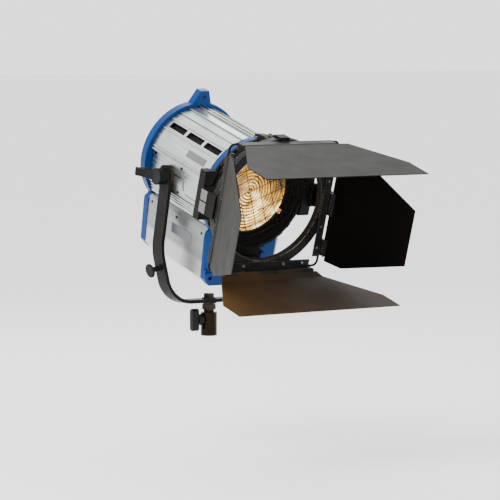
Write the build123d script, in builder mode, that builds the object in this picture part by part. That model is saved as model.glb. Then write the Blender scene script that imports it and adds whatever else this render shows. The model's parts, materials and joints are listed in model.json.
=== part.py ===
"""Tungsten fresnel spotlight on a stirrup, with a four-leaf barn door.

World frame: millimetres, +Z up, the beam leaves towards -Y and dips by TILT.
The origin is the centre of the stand socket's mouth, at the bottom.
The near side of the lamp is -X and the far side is +X.

The head is drawn in lamp coordinates: x across, v up, b forward along the beam.
x and v are measured from the beam's axis, and b from the back of the rear frame.
"""
import os
from math import cos, radians, sin

from build123d import *

os.makedirs("parts", exist_ok=True)

# ---- driving dimensions ----------------------------------------------------
TILT = 17.0                # the head points this far below level
PIVOT_HEIGHT = 273.0       # tilt axis above the socket's mouth
PIVOT_B, PIVOT_V = 70.0, -14.0     # tilt axis in lamp coordinates

FRAME_R = 95.0             # outer radius of both cast frames
FRAME_T = 14.0             # length of a cast frame along the beam
SHELL_R = 88.0             # outside of the round upper shell
SHELL_T = 2.5
FRONT_B = 190.0            # back face of the front frame
BOX_HALF = 75.0            # half width of the lower part of a frame
BOX_TOP, BOX_BOTTOM = -67.0, -161.0
SIDE_X = 81.0              # outer face of the flat side panels
CHASSIS_V = -60.0          # top of the plate between lamp house and lower box

LENS_R = 70.0
LENS_B = 187.0             # flat back of the lens
DOOR_B = 204.6             # back face of the front door's flange
DOOR_R = 97.0

RING_R, RING_IN = 114.0, 97.5      # barn door's ring
RING_B, RING_T = 248.0, 12.0
PLATE_B, PLATE_T = 262.9, 2.4      # hinge plates in front of the ring
SIDE_HINGE_X = 114.0
NEAR_HINGE_B, FAR_HINGE_B = 275.0, 272.4
CROSS_HINGE_V, CROSS_HINGE_B = 110.0, 282.0    # hinges of the top and bottom leaves
NEAR_OPEN, FAR_OPEN = 24.5, 13.2   # how far the side leaves stand open
LEAF_T = 1.4
KNUCKLE_R, PIN_R = 3.0, 1.5

YOKE_W, YOKE_T = 28.0, 6.0
YOKE_BAR_Z = 60.0
SOCKET_R, SOCKET_L = 14.0, 40.0
STUD_BORE_R = 8.1          # takes a 16 mm stand stud
SCREW_Z = 28.0             # height of the socket's clamp screw

LAMP_B = 118.0             # filament's place along the beam
ROD_V = -104.0             # guide rods and focus screw below the chassis plate
RUN = 0.05                 # radial clearance of a running fit
GAP = 0.3                  # clearance between moving curved faces

# ---- the lamp's own planes ---------------------------------------------------
ACROSS = Vector(1, 0, 0)
FORWARD = Vector(0, -cos(radians(TILT)), -sin(radians(TILT)))
UP = Vector(0, -sin(radians(TILT)), cos(radians(TILT)))
LAMP_ORIGIN = Vector(0, 0, PIVOT_HEIGHT) - FORWARD * PIVOT_B - UP * PIVOT_V
BEAM = Axis(LAMP_ORIGIN, FORWARD)


def across(b):
    """Plane square to the beam: local x across, local y up, facing forward."""
    return Plane(LAMP_ORIGIN + FORWARD * b, x_dir=ACROSS, z_dir=FORWARD)


def beside(x):
    """Plane square to the tilt axis: local x forward, local y up, facing -X."""
    return Plane(LAMP_ORIGIN + ACROSS * x, x_dir=FORWARD, z_dir=-ACROSS)


def level(v):
    """Plane along the beam: local x forward, local y across, facing up."""
    return Plane(LAMP_ORIGIN + UP * v, x_dir=FORWARD, z_dir=UP)


def radial(b, angle, radius):
    """Plane on a cylinder round the beam: local x forward, facing outward."""
    out = ACROSS * cos(radians(angle)) + UP * sin(radians(angle))
    return Plane(LAMP_ORIGIN + FORWARD * b + out * radius, x_dir=FORWARD, z_dir=out)


def save(name, piece):
    """Label one finished piece and write it as its own STEP file."""
    piece.part.label = name
    export_step(piece.part, f"parts/{name}.step")


# ---- yoke, stand socket and their fittings -----------------------------------
YOKE_ARM_X = 88.0          # middle of the arm at the tilt axis
YOKE_TIP_Z = 292.0
YOKE_HALF = [(YOKE_ARM_X, YOKE_TIP_Z), (YOKE_ARM_X, 252.0), (103.4, 150.0), (82.8, YOKE_BAR_Z)]
YOKE_BENDS = [60, 90, 50, 50, 90, 60]
STUD_R = 5.0
ARM_OUT = YOKE_ARM_X + YOKE_T / 2
NUT_Z, NUT_H, WASHER_T = 45.0, 8.0, 2.0
BAR_OVER = YOKE_BAR_Z + YOKE_T / 2

with BuildPart() as yoke_bar:
    with BuildSketch(Plane.XZ):
        with BuildLine():
            near_half = [(-x, z) for x, z in YOKE_HALF]
            FilletPolyline(*near_half, *reversed(YOKE_HALF), radius=YOKE_BENDS)
        trace(line_width=YOKE_T)
    extrude(amount=YOKE_W / 2, both=True)
    fillet(yoke_bar.edges().filter_by(Axis.X).group_by(Axis.Z)[-1], YOKE_W / 2 - 0.5)
    with BuildSketch(Plane.YZ):
        with Locations((0, PIVOT_HEIGHT)):
            Circle(STUD_R + RUN)
    extrude(amount=120, both=True, mode=Mode.SUBTRACT)
    with BuildSketch(Plane.XY.offset(YOKE_BAR_Z)):
        Circle(STUD_R + RUN)
    extrude(amount=10, both=True, mode=Mode.SUBTRACT)
save("yoke_bar", yoke_bar)

BORE_DEPTH = 34.0
NECK_R = 9.0
with BuildPart() as stand_socket:
    Cylinder(SOCKET_R, SOCKET_L, align=(Align.CENTER, Align.CENTER, Align.MIN))
    with BuildSketch(Plane.XY.offset(SOCKET_L)):
        Circle(NECK_R)
    extrude(amount=NUT_Z - SOCKET_L)
    chamfer(stand_socket.edges().group_by(Axis.Z)[0], 1.2)
    with BuildSketch():
        Circle(STUD_BORE_R)
    extrude(amount=BORE_DEPTH, mode=Mode.SUBTRACT)
    with BuildSketch(Plane.XY.offset(NUT_Z - 7)):
        Circle(STUD_R + RUN)
    extrude(amount=7, mode=Mode.SUBTRACT)
    with BuildSketch(Plane.YZ):
        with Locations((0, SCREW_Z)):
            Circle(STUD_R)
    extrude(amount=-SOCKET_R - 1, mode=Mode.SUBTRACT)
save("stand_socket", stand_socket)

with BuildPart() as neck_nut:
    with BuildSketch(Plane.XY.offset(NUT_Z)):
        RegularPolygon(13.2, 6)
        Circle(STUD_R + RUN, mode=Mode.SUBTRACT)
    extrude(amount=NUT_H)
save("neck_nut", neck_nut)

with BuildPart() as yoke_washers:
    washers = [(NUT_Z + NUT_H, 10.0), (NUT_Z + NUT_H + WASHER_T, 13.0), (BAR_OVER, 12.0)]
    for base, outside in washers:
        with BuildSketch(Plane.XY.offset(base)):
            Circle(outside)
            Circle(STUD_R + RUN, mode=Mode.SUBTRACT)
        extrude(amount=WASHER_T)
save("yoke_washers", yoke_washers)

with BuildPart() as yoke_bolt:
    with BuildSketch(Plane.XY.offset(NUT_Z - 6)):
        Circle(STUD_R)
    extrude(amount=BAR_OVER + WASHER_T - NUT_Z + 6)
    with BuildSketch(Plane.XY.offset(BAR_OVER + WASHER_T)):
        RegularPolygon(9.8, 6)
    extrude(amount=7)
    chamfer(yoke_bolt.edges().group_by(Axis.Z)[-1], 0.8)
save("yoke_bolt", yoke_bolt)

HOOK_RUN = 62.0            # cable hooks stand on the sloping stretch of the arms
knee, ankle = YOKE_HALF[2], YOKE_HALF[3]
slope = Vector(knee[0] - ankle[0], 0, knee[1] - ankle[1]).normalized()
with BuildPart() as cable_hooks:
    for sign in (-1, 1):
        away = Vector(sign * slope.Z, 0, -slope.X)
        foot = Vector(sign * (ankle[0] + HOOK_RUN * slope.X), 0, ankle[1] + HOOK_RUN * slope.Z)
        hook_plane = Plane(foot + away * (YOKE_T / 2), x_dir=(0, 1, 0), z_dir=away)
        with BuildSketch(hook_plane):
            Circle(6)
        extrude(amount=2)
        with BuildSketch(hook_plane):
            Circle(4.5)
        extrude(amount=18)
        with BuildSketch(hook_plane.offset(17)):
            Circle(12)
        extrude(amount=4.5)
    rims = cable_hooks.edges().filter_by(GeomType.CIRCLE).group_by(SortBy.RADIUS)[-1]
    fillet(rims, 1.8)
save("cable_hooks", cable_hooks)

KNOB_START = 15.0          # the clamp screw's handle, outside the socket
with BuildPart() as socket_screw:
    with BuildSketch(Plane.YZ.offset(-20)):
        with Locations((0, SCREW_Z)):
            Circle(STUD_R - RUN)
    extrude(amount=20 - STUD_BORE_R - 0.4)
save("socket_screw", socket_screw)

with BuildPart() as socket_handle:
    with BuildSketch(Plane.YZ.offset(-KNOB_START)):
        with Locations((0, SCREW_Z)):
            Circle(9.5)
    extrude(amount=-9)
    with BuildSketch(Plane.YZ.offset(-KNOB_START - 9)):
        with Locations((0, SCREW_Z)):
            RectangleRounded(13, 38, 5)
    extrude(amount=-12)
    fillet(socket_handle.faces().sort_by(Axis.X)[0].edges(), 3)
    with BuildSketch(Plane.YZ.offset(-KNOB_START)):
        with Locations((0, SCREW_Z)):
            Circle(STUD_R - RUN)
    extrude(amount=-5, mode=Mode.SUBTRACT)
save("socket_handle", socket_handle)

# ---- tilt axis: studs, washers, locking lever ----------------------------------
STUD_END = 104.0
PIVOT_PLATE_T = 3.0
SIDE_T = 3.0
LEVER_RISE = 10.0          # the lever points back and a little up
pivot = Vector(0, 0, PIVOT_HEIGHT)


def pivot_plane(x):
    """Plane square to the tilt axis at x, centred on the axis."""
    return Plane(pivot + ACROSS * x, x_dir=(0, 1, 0), z_dir=ACROSS)


with BuildPart() as pivot_studs:
    for sign in (-1, 1):
        with BuildSketch(pivot_plane(sign * (SIDE_X - SIDE_T - PIVOT_PLATE_T))):
            Circle(STUD_R)
        extrude(amount=sign * (STUD_END - SIDE_X + SIDE_T + PIVOT_PLATE_T))
        with BuildSketch(pivot_plane(sign * (SIDE_X - SIDE_T - PIVOT_PLATE_T))):
            RegularPolygon(9, 6)
        extrude(amount=-sign * 4)
save("pivot_studs", pivot_studs)

with BuildPart() as pivot_plates:
    for sign in (-1, 1):
        with BuildSketch(pivot_plane(sign * (SIDE_X - SIDE_T))):
            RectangleRounded(44, 36, 6)
            Circle(STUD_R + RUN, mode=Mode.SUBTRACT)
        extrude(amount=-sign * PIVOT_PLATE_T)
save("pivot_plates", pivot_plates)

with BuildPart() as friction_washers:
    for sign in (-1, 1):
        with BuildSketch(pivot_plane(sign * SIDE_X)):
            Circle(17)
            Circle(STUD_R + RUN, mode=Mode.SUBTRACT)
        extrude(amount=sign * (YOKE_ARM_X - YOKE_T / 2 - SIDE_X - 0.2))
save("friction_washers", friction_washers)

LEVER_X = ARM_OUT + GAP
with BuildPart() as tilt_lever:
    with BuildSketch(pivot_plane(-LEVER_X)):
        Circle(14)
    extrude(amount=-16)
    wing = Vector(0, cos(radians(LEVER_RISE)), sin(radians(LEVER_RISE)))
    wing_side = Vector(0, -sin(radians(LEVER_RISE)), cos(radians(LEVER_RISE)))
    with BuildSketch(Plane(pivot, x_dir=wing, z_dir=wing_side)):
        Polygon(
            (2, LEVER_X + 1), (13, LEVER_X + 1), (30, 99), (46, 111),
            (49, 117), (45, 119), (26, 112), (2, LEVER_X + 15),
            align=None,
        )
    extrude(amount=7, both=True)
    fillet(tilt_lever.faces().filter_by(GeomType.PLANE).sort_by(Axis.X)[0].edges(), 1.5)
    with BuildSketch(pivot_plane(-LEVER_X)):
        Circle(STUD_R + RUN)
    extrude(amount=LEVER_X - STUD_END - 0.4, mode=Mode.SUBTRACT)
save("tilt_lever", tilt_lever)

with BuildPart() as far_pivot_nut:
    with BuildSketch(pivot_plane(LEVER_X)):
        Circle(13)
    extrude(amount=2)
    with BuildSketch(pivot_plane(LEVER_X + 2)):
        RegularPolygon(10.5, 6)
    extrude(amount=12)
    chamfer(far_pivot_nut.edges().group_by(Axis.X)[-1], 1.5)
    with BuildSketch(pivot_plane(LEVER_X)):
        Circle(STUD_R + RUN)
    extrude(amount=STUD_END - LEVER_X + 0.2, mode=Mode.SUBTRACT)
save("far_pivot_nut", far_pivot_nut)

# ---- the head's two cast frames --------------------------------------------------
OPENING_R = 79.0           # round opening of a frame
POCKET_HALF, POCKET_TOP, POCKET_BOTTOM = 60.0, -84.0, -154.0
POCKET_V = (POCKET_TOP + POCKET_BOTTOM) / 2
LUG_HOLE_R, LUG_HOLE_X, LUG_HOLE_V = 4.0, 4.0, 105.0
ROD_X, ROD_R = 30.0, 3.0
TIE_R, TIE_ANGLE = 82.3, 15.0
TIE_LOW = (63.5, -141.0)
EYE_X, EYE_V, EYE_R = 61.0, -146.0, 9.5
DOOR_PIVOT_B, DOOR_PIVOT_V = 212.0, -106.0
EAR_IN, EAR_OUT = 27.0, 35.0


def frame_outline():
    """Outline of a cast frame: the lamp house's circle, a neck, and the box below."""
    Circle(FRAME_R)
    half = [
        (BOX_HALF - 6, BOX_TOP), (BOX_HALF, BOX_TOP - 6), (BOX_HALF, -80),
        (68.5, -150), (58, BOX_BOTTOM),
    ]
    Polygon(*half, *[(-x, v) for x, v in reversed(half)], align=None)
    with Locations((0, BOX_TOP)):
        Rectangle(2 * (BOX_HALF - 6), 16)


with BuildPart() as rear_frame:
    with BuildSketch(across(0)):
        frame_outline()
        Polygon((-21, 88), (-5, 116.5), (12, 116.5), (21, 90), align=None)
        Circle(OPENING_R, mode=Mode.SUBTRACT)
        with Locations((0, POCKET_V)):
            Rectangle(2 * POCKET_HALF, POCKET_TOP - POCKET_BOTTOM, mode=Mode.SUBTRACT)
        with Locations((LUG_HOLE_X, LUG_HOLE_V)):
            Circle(LUG_HOLE_R, mode=Mode.SUBTRACT)
    extrude(amount=FRAME_T)
save("rear_frame", rear_frame)

with BuildPart() as front_frame:
    with BuildSketch(across(FRONT_B)):
        frame_outline()
        Circle(OPENING_R, mode=Mode.SUBTRACT)
    extrude(amount=FRAME_T)
    # the lower part is a closed face, hollow behind
    with BuildSketch(across(FRONT_B)):
        with Locations((0, POCKET_V)):
            Rectangle(2 * POCKET_HALF, POCKET_TOP - POCKET_BOTTOM)
    extrude(amount=6, mode=Mode.SUBTRACT)
    # seats of the guide rods and of the focus screw
    with BuildSketch(across(FRONT_B)):
        with Locations((-ROD_X, ROD_V), (ROD_X, ROD_V)):
            Circle(ROD_R + RUN)
        with Locations((0, ROD_V)):
            Circle(STUD_R)
    extrude(amount=11, mode=Mode.SUBTRACT)
    # wide bevels on the upright edges of the lower face
    with BuildSketch(level(BOX_TOP + 1)):
        for sign in (-1, 1):
            Polygon(
                (FRONT_B + 2, sign * 76), (FRONT_B + 15, sign * 76), (FRONT_B + 15, sign * 62),
                align=None,
            )
    extrude(amount=EYE_V + EYE_R + 2 - BOX_TOP, mode=Mode.SUBTRACT)
    # bottom eyes, and the ears of the front door's hinge
    with BuildSketch(across(FRONT_B + FRAME_T)):
        with Locations((-EYE_X, EYE_V), (EYE_X, EYE_V)):
            Circle(EYE_R)
    extrude(amount=4.5)
    with BuildSketch(across(FRONT_B + FRAME_T)):
        for sign in (-1, 1):
            with Locations((sign * (EAR_IN + EAR_OUT) / 2, DOOR_PIVOT_V)):
                Rectangle(EAR_OUT - EAR_IN, 10)
    extrude(amount=DOOR_PIVOT_B + 5 - FRONT_B - FRAME_T)
    with BuildSketch(across(FRONT_B)):
        with Locations((-EYE_X, EYE_V), (EYE_X, EYE_V)):
            Circle(3.5)
    extrude(amount=FRAME_T + 5, mode=Mode.SUBTRACT)
    with BuildSketch(beside(0)):
        with Locations((DOOR_PIVOT_B, DOOR_PIVOT_V)):
            Circle(2.5)
    extrude(amount=40, both=True, mode=Mode.SUBTRACT)
save("front_frame", front_frame)

# ---- upper shell, side panels, rails ----------------------------------------------
SHELL_L = FRONT_B - FRAME_T
SHELL_MID = FRAME_T + SHELL_L / 2
SHELL_FOOT_V = 17.0
RIB_ANGLES = (2, 15, 27, 38, 52, 74, 77.5)     # degrees from the top, both sides
TALL_RIB = 2
VENT_ANGLE, VENT_W, VENT_L, VENT_STEP = 45.0, 12.0, 46.0, 53.0

with BuildPart() as top_shell:
    with BuildSketch(across(FRAME_T)):
        Circle(SHELL_R)
        for from_top in RIB_ANGLES:
            height = 3.2 if from_top == TALL_RIB else 1.8
            for angle in (90 - from_top, 90 + from_top):
                with PolarLocations(SHELL_R - 1 + height / 2, 1, start_angle=angle):
                    Rectangle(height + 2, 1.8)
        Circle(SHELL_R - SHELL_T, mode=Mode.SUBTRACT)
        with Locations((0, SHELL_FOOT_V - 60)):
            Rectangle(200, 120, mode=Mode.SUBTRACT)
    extrude(amount=SHELL_L)
    for angle in (90 - VENT_ANGLE, 90 + VENT_ANGLE):
        with BuildSketch(radial(SHELL_MID, angle, SHELL_R + 3)):
            with GridLocations(VENT_STEP, 1, 3, 1):
                Rectangle(VENT_L, VENT_W)
        extrude(amount=-9, mode=Mode.SUBTRACT)
save("top_shell", top_shell)

BAFFLE_R, BAFFLE_T = 80.5, 1.0
with BuildPart() as vent_baffles:
    with BuildSketch(across(FRAME_T)):
        for angle in (90 - VENT_ANGLE, 90 + VENT_ANGLE):
            with BuildLine():
                CenterArc((0, 0), BAFFLE_R, angle - 17, 34)
            trace(line_width=BAFFLE_T)
    extrude(amount=SHELL_L)
save("vent_baffles", vent_baffles)

SIDE_TOP, SIDE_FOOT = 16.0, -36.0
PRESS_B, PRESS_TOP, PRESS_FOOT, PRESS_DEPTH = 112.0, 8.0, -29.0, 1.8
press_r = (PRESS_TOP - PRESS_FOOT) / 2
with BuildPart() as side_panels:
    for sign in (-1, 1):
        with BuildSketch(beside(sign * SIDE_X)):
            with Locations((SHELL_MID, (SIDE_TOP + SIDE_FOOT) / 2)):
                Rectangle(SHELL_L, SIDE_TOP - SIDE_FOOT)
            with Locations((PIVOT_B, PIVOT_V)):
                Circle(STUD_R + RUN, mode=Mode.SUBTRACT)
        extrude(amount=sign * SIDE_T)
        # pressed pocket with a round end, open towards the front frame
        with BuildSketch(beside(sign * SIDE_X)):
            with Locations((PRESS_B + press_r, PRESS_TOP - press_r)):
                Circle(press_r)
            with Locations(((PRESS_B + press_r + FRONT_B) / 2, PRESS_TOP - press_r)):
                Rectangle(FRONT_B - PRESS_B - press_r, 2 * press_r)
        extrude(amount=sign * PRESS_DEPTH, mode=Mode.SUBTRACT)
save("side_panels", side_panels)

with BuildPart() as lower_rails:
    for sign in (-1, 1):
        with BuildSketch(across(FRAME_T)):
            Polygon(
                (sign * 83.5, SIDE_FOOT - 0.4), (sign * 72.5, CHASSIS_V + 1.5),
                (sign * 67.5, CHASSIS_V + 1.5), (sign * 78.5, SIDE_FOOT - 0.4),
                align=None,
            )
            for step in (0.2, 0.45, 0.7):
                with Locations((sign * (83.5 - 11 * step), SIDE_FOOT - 22 * step)):
                    Rectangle(3.2, 2.4, rotation=sign * 27, mode=Mode.SUBTRACT)
        extrude(amount=SHELL_L)
save("lower_rails", lower_rails)

# ---- lower box, covers and what holds the frames together ---------------------------
HOUSING_T = 2.0
HOUSING_HALF = [
    (66.0, -63.0), (72.5, -70.0), (72.5, -82.0), (70.0, -113.0), (66.5, -151.0), (59.0, -158.0),
]
COVER_B, COVER_T = 3.0, 3.0
GLAND_X, GLAND_V, GLAND_R = 42.0, -128.0, 8.0

with BuildPart() as lower_housing:
    with BuildSketch(across(FRAME_T)):
        with BuildLine():
            Polyline(*[(-x, v) for x, v in HOUSING_HALF], *reversed(HOUSING_HALF))
        trace(line_width=HOUSING_T)
    extrude(amount=SHELL_L)
save("lower_housing", lower_housing)

PLATE_FRONT = 184.0        # stops short of the lens
SLOT_BACK, SLOT_FRONT, SLOT_HALF = 20.0, 166.0, 11.0
with BuildPart() as chassis_plate:
    with BuildSketch(level(CHASSIS_V)):
        with Locations(((FRAME_T + PLATE_FRONT) / 2, 0)):
            Rectangle(PLATE_FRONT - FRAME_T, 128)
        with Locations(((SLOT_BACK + SLOT_FRONT) / 2, 0)):
            Rectangle(SLOT_FRONT - SLOT_BACK, 2 * SLOT_HALF, mode=Mode.SUBTRACT)
    extrude(amount=-HOUSING_T)
save("chassis_plate", chassis_plate)

with BuildPart() as rear_cover:
    with BuildSketch(across(COVER_B)):
        Circle(OPENING_R - 0.1)
        for row in range(5):
            with Locations((0, 52 - 13 * row)):
                SlotOverall(70 + 6 * row, 5, mode=Mode.SUBTRACT)
    extrude(amount=COVER_T)
    with BuildSketch(across(COVER_B)):
        Circle(OPENING_R - 4)
        Circle(OPENING_R - 7, mode=Mode.SUBTRACT)
    extrude(amount=-2)
save("rear_cover", rear_cover)

with BuildPart() as lower_rear_cover:
    with BuildSketch(across(COVER_B)):
        with Locations((0, POCKET_V)):
            Rectangle(2 * POCKET_HALF, POCKET_TOP - POCKET_BOTTOM)
        with Locations((-ROD_X, ROD_V), (ROD_X, ROD_V)):
            Circle(ROD_R + RUN, mode=Mode.SUBTRACT)
        with Locations((0, ROD_V)):
            Circle(STUD_R, mode=Mode.SUBTRACT)
        with Locations((GLAND_X, GLAND_V)):
            Circle(GLAND_R, mode=Mode.SUBTRACT)
    extrude(amount=COVER_T)
save("lower_rear_cover", lower_rear_cover)

with BuildPart() as tie_rods:
    with BuildSketch(across(FRAME_T)):
        for angle in (TIE_ANGLE, 180 - TIE_ANGLE):
            with PolarLocations(TIE_R, 1, start_angle=angle):
                Circle(2.5)
        for sign in (-1, 1):
            with Locations((sign * TIE_LOW[0], TIE_LOW[1])):
                Circle(2.5)
    extrude(amount=SHELL_L)
save("tie_rods", tie_rods)

with BuildPart() as frame_screws:
    with BuildSketch(across(0)):
        for angle in (15, 50, 130, 165, 205, 335):
            with PolarLocations(FRAME_R - 8, 1, start_angle=angle):
                Circle(3.5)
        for x, v in ((-66.5, -84), (66.5, -84), (-64, -138), (64, -138)):
            with Locations((x, v)):
                Circle(3)
    extrude(amount=-2.5)
save("frame_screws", frame_screws)

with BuildPart() as cable_gland:
    with BuildSketch(across(COVER_B + COVER_T)):
        with Locations((GLAND_X, GLAND_V)):
            RegularPolygon(12, 6)
    extrude(amount=4)
    with BuildSketch(across(COVER_B)):
        with Locations((GLAND_X, GLAND_V)):
            Circle(GLAND_R)
    extrude(amount=COVER_T)
    with BuildSketch(across(COVER_B)):
        with Locations((GLAND_X, GLAND_V)):
            RegularPolygon(12, 6)
    extrude(amount=-9)
    with BuildSketch(across(COVER_B - 9)):
        with Locations((GLAND_X, GLAND_V)):
            Circle(9.5)
    extrude(amount=-12, taper=12)
    with BuildSketch(across(COVER_B + COVER_T + 4)):
        with Locations((GLAND_X, GLAND_V)):
            Circle(4.5)
    extrude(amount=-32, mode=Mode.SUBTRACT)
save("cable_gland", cable_gland)

with BuildPart() as terminal_block:
    with BuildSketch(across(24)):
        with Locations((GLAND_X, -131)):
            Rectangle(30, 16)
        with Locations((GLAND_X - 9, -131), (GLAND_X, -131), (GLAND_X + 9, -131)):
            Circle(2.2, mode=Mode.SUBTRACT)
    extrude(amount=24)
    with BuildSketch(across(24)):
        with Locations((GLAND_X, -148)):
            Rectangle(16, 18)
    extrude(amount=24)
save("terminal_block", terminal_block)

# ---- focus drive and lamp carriage -----------------------------------------------------
KNOB_B, KNOB_L, KNOB_R, FLUTES = -3.0, 20.0, 21.0, 10
CARRIAGE_T = 20.0
HOLDER_V = -46.0

with BuildPart() as guide_rods:
    with BuildSketch(across(COVER_B)):
        with Locations((-ROD_X, ROD_V), (ROD_X, ROD_V)):
            Circle(ROD_R)
    extrude(amount=FRONT_B + 10.5 - COVER_B)
save("guide_rods", guide_rods)

with BuildPart() as focus_screw:
    with BuildSketch(across(KNOB_B - 12)):
        with Locations((0, ROD_V)):
            Circle(STUD_R - RUN)
    extrude(amount=FRONT_B + 10.5 - KNOB_B + 12)
save("focus_screw", focus_screw)

with BuildPart() as focus_knob:
    with BuildSketch(across(KNOB_B)):
        with Locations((0, ROD_V)):
            Circle(KNOB_R)
            with PolarLocations(KNOB_R + 2.2, FLUTES):
                Circle(4, mode=Mode.SUBTRACT)
    extrude(amount=-KNOB_L)
    fillet(focus_knob.faces().sort_by(BEAM)[0].edges(), 1.5)
    with BuildSketch(across(KNOB_B)):
        with Locations((0, ROD_V)):
            Circle(STUD_R - RUN)
    extrude(amount=-12, mode=Mode.SUBTRACT)
save("focus_knob", focus_knob)

with BuildPart() as carriage:
    with BuildSketch(across(LAMP_B - CARRIAGE_T / 2)):
        with Locations((0, ROD_V)):
            RectangleRounded(84, 24, 4)
        with Locations((-ROD_X, ROD_V), (ROD_X, ROD_V)):
            Circle(ROD_R + RUN, mode=Mode.SUBTRACT)
        with Locations((0, ROD_V)):
            Circle(STUD_R + 1, mode=Mode.SUBTRACT)
    extrude(amount=CARRIAGE_T)
    with BuildSketch(level(ROD_V + 12)):
        with Locations((LAMP_B, 0)):
            Rectangle(16, 16)
    extrude(amount=HOLDER_V - ROD_V - 12)
save("carriage", carriage)

with BuildPart() as focus_nut:
    with BuildSketch(across(LAMP_B + CARRIAGE_T / 2)):
        with Locations((0, ROD_V)):
            RectangleRounded(26, 22, 3)
            Circle(STUD_R + 0.04, mode=Mode.SUBTRACT)
    extrude(amount=9)
save("focus_nut", focus_nut)

HOLDER_H, BASE_H, BULB_R, BULB_TOP = 18.0, 14.0, 12.0, 26.0
with BuildPart() as lamp_holder:
    with BuildSketch(level(HOLDER_V)):
        with Locations((LAMP_B, 0)):
            RectangleRounded(22, 50, 5)
    extrude(amount=HOLDER_H)
save("lamp_holder", lamp_holder)

with BuildPart() as lamp_base:
    with BuildSketch(level(HOLDER_V + HOLDER_H)):
        with Locations((LAMP_B, 0)):
            RectangleRounded(14, 34, 4)
    extrude(amount=BASE_H)
save("lamp_base", lamp_base)

BULB_FOOT = HOLDER_V + HOLDER_H + BASE_H
with BuildPart() as lamp_bulb:
    with BuildSketch(level(BULB_FOOT)):
        with Locations((LAMP_B, 0)):
            Circle(BULB_R)
    extrude(amount=BULB_TOP - BULB_FOOT)
    fillet(lamp_bulb.faces().filter_by(GeomType.PLANE).sort_by(Axis.Z)[-1].edges(), BULB_R - 1)
    with BuildSketch(level(BULB_FOOT + 1)):
        with Locations((LAMP_B, 0)):
            Circle(BULB_R - 1)
    extrude(amount=BULB_TOP - BULB_FOOT - BULB_R, mode=Mode.SUBTRACT)
save("lamp_bulb", lamp_bulb)

with BuildPart() as filament:
    for across_x in (-4.5, -1.5, 1.5, 4.5):
        with BuildSketch(level(BULB_FOOT + 1.2)):
            with Locations((LAMP_B, across_x)):
                Circle(0.9)
        extrude(amount=BULB_R - 1)
save("filament", filament)

DISH_R, DISH_T, DISH_SPAN = 46.0, 1.2, 58.0
with BuildPart() as reflector:
    with BuildSketch(level(0)):
        with BuildLine():
            CenterArc((LAMP_B, 0), DISH_R, 180 - DISH_SPAN, DISH_SPAN - 1)
        trace(line_width=DISH_T)
    revolve(axis=BEAM)
save("reflector", reflector)

BRACKET_B = LAMP_B - DISH_R - 4.5
with BuildPart() as reflector_bracket:
    with BuildSketch(across(BRACKET_B)):
        with Locations((0, -43)):
            Rectangle(16, 98)
    extrude(amount=2.5)
    with BuildSketch(across(BRACKET_B)):
        with Locations((0, 0)):
            Circle(6)
    extrude(amount=3.8)
    with BuildSketch(level(ROD_V + 12)):
        with Locations(((BRACKET_B + LAMP_B - 8) / 2, 0)):
            Rectangle(LAMP_B - 8 - BRACKET_B, 16)
    extrude(amount=2)
save("reflector_bracket", reflector_bracket)

# ---- front door, lens, wire guard and accessory brackets ------------------------------------
LIP_R = 68.0
DOOR_PROFILE = [
    (192, 71.5), (197, 71.5), (197, LIP_R), (202, LIP_R), (202, 74), (206, 74), (206, 79.5),
    (209, 79.5), (209, 84.5), (212, 84.5), (212, 89.5), (216, 89.5), (216, 93), (209, 93),
    (209, DOOR_R), (DOOR_B, DOOR_R), (DOOR_B, 77), (192, 77),
]
LENS_RINGS, LENS_CAP_R, RIM_R = 10, 11.0, 66.0
LENS_BASE_B, FACET_H = 190.5, 2.4

with BuildPart() as door_ring:
    with BuildSketch(level(0)):
        Polygon(*DOOR_PROFILE, align=None)
    revolve(axis=BEAM)
    with BuildSketch(across(209)):
        with PolarLocations(94.8, 30):
            Rectangle(4, 9)
    extrude(amount=3.5)
    with BuildSketch(beside(0)):
        with Locations((DOOR_PIVOT_B, DOOR_PIVOT_V)):
            Circle(4)
        with Locations((DOOR_PIVOT_B - 3, DOOR_PIVOT_V + 8)):
            Rectangle(6, 14)
        with Locations((DOOR_PIVOT_B, DOOR_PIVOT_V)):
            Circle(2.5 + RUN, mode=Mode.SUBTRACT)
    extrude(amount=EAR_IN - 2, both=True)
save("door_ring", door_ring)

with BuildPart() as door_hinge_pin:
    with BuildSketch(beside(0)):
        with Locations((DOOR_PIVOT_B, DOOR_PIVOT_V)):
            Circle(2.5)
    extrude(amount=EAR_OUT + 2, both=True)
save("door_hinge_pin", door_hinge_pin)

CAP_H = 3.0                # the lens's middle is a low dome
dome_r = (LENS_CAP_R**2 + CAP_H**2) / (2 * CAP_H)
dome_mid = LENS_CAP_R / 2
dome_b = LENS_BASE_B + CAP_H - dome_r + (dome_r**2 - dome_mid**2) ** 0.5
facet_w = (RIM_R - LENS_CAP_R) / LENS_RINGS
facets = []
for ring in range(LENS_RINGS):
    outside = RIM_R - ring * facet_w
    facets += [(LENS_BASE_B, outside), (LENS_BASE_B + FACET_H, outside - facet_w + 0.4)]
with BuildPart() as fresnel_lens:
    with BuildSketch(level(0)):
        with BuildLine():
            Polyline(
                (LENS_B, 0), (LENS_B, LENS_R), (195.5, LENS_R), (195.5, RIM_R + 0.5), *facets,
                (LENS_BASE_B, LENS_CAP_R),
            )
            ThreePointArc(
                (LENS_BASE_B, LENS_CAP_R), (dome_b, dome_mid), (LENS_BASE_B + CAP_H, 0)
            )
            Line((LENS_BASE_B + CAP_H, 0), (LENS_B, 0))
        make_face()
    revolve(axis=BEAM)
save("fresnel_lens", fresnel_lens)

CLIP_ANGLES = (-29.5, 90.5, 210.5)
with BuildPart() as lens_clips:
    with BuildSketch(across(202)):
        for angle in CLIP_ANGLES:
            with PolarLocations(67.5, 1, start_angle=angle):
                Rectangle(8, 8)
    extrude(amount=1.2)
save("lens_clips", lens_clips)

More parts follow.
